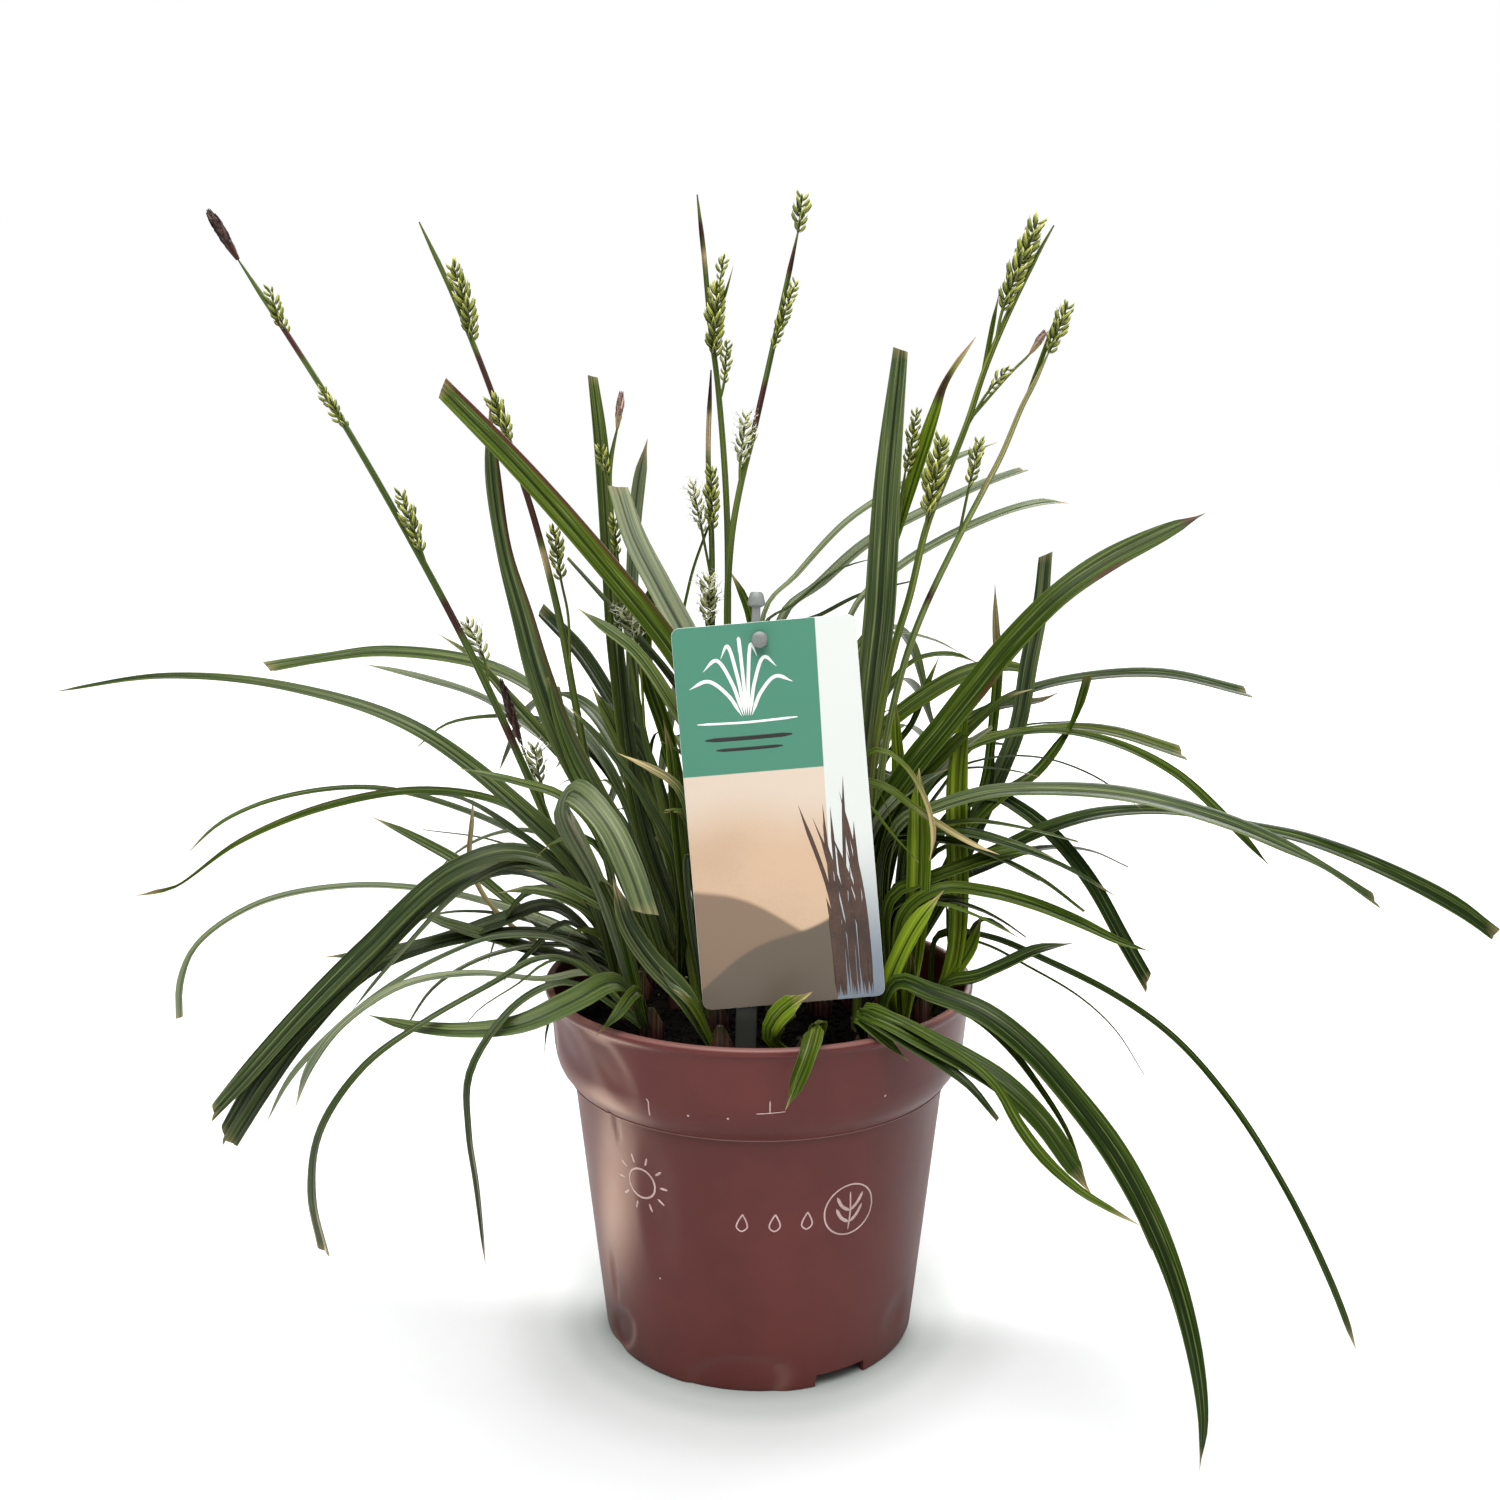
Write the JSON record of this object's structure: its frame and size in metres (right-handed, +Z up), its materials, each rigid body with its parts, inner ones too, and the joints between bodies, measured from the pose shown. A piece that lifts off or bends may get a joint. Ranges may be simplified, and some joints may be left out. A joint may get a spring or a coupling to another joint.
{
  "type": "potted evergreen sedge",
  "caption": "Evergreen sedge with arching strap leaves and slender flower spikes, growing in a round plastic nursery pot with a picture label on a stake.",
  "frame": {"origin": "centre of the pot's base, on the surface it stands on", "axes": "+Z up, -Y towards the side that the label faces, +X to the right as seen from that side"},
  "size_m": [0.4604, 0.3167, 0.3693],
  "materials": {
    "leaf": "dark green glossy leaf with fine lengthwise ribs",
    "flower_stem": "green stem with yellow-green spikes",
    "pot_plastic": "semi-gloss brick-brown moulded plastic",
    "soil": "damp crumbly peat compost",
    "label_plastic": "grey moulded plastic",
    "label_card": "printed plastic card"
  },
  "bodies": {
    "root": {"shoot_left_front": "leaf", "shoot_left_low": "leaf", "shoot_left_long": "leaf", "shoot_left_bundle": "leaf", "shoot_left_pale": "leaf", "shoot_left_back": "leaf", "shoot_left_tall": "leaf", "shoot_left_inner": "leaf", "shoot_mid_left": "leaf", "shoot_mid_cross": "leaf", "shoot_mid_right": "leaf", "shoot_right_back": "leaf", "shoot_right_wide": "leaf", "shoot_right_tall": "leaf", "shoot_right_mid": "leaf", "shoot_right_grey": "leaf", "shoot_right_edge": "leaf", "shoot_right_front": "leaf", "shoot_right_low": "leaf", "shoot_front_short": "leaf", "shoot_back_a": "leaf", "shoot_back_b": "leaf", "shoot_back_c": "leaf", "shoot_back_d": "leaf", "shoot_back_e": "leaf", "culm_a": "flower_stem", "culm_b": "flower_stem", "culm_c": "flower_stem", "culm_d": "flower_stem", "culm_k": "flower_stem", "culm_e": "flower_stem", "culm_h": "flower_stem", "culm_f": "flower_stem", "culm_g": "flower_stem", "pot": "pot_plastic", "label_stake": "label_plastic", "soil": "soil", "label_card": "label_card", "label_rivet": "label_plastic"}
  },
  "joints": []
}
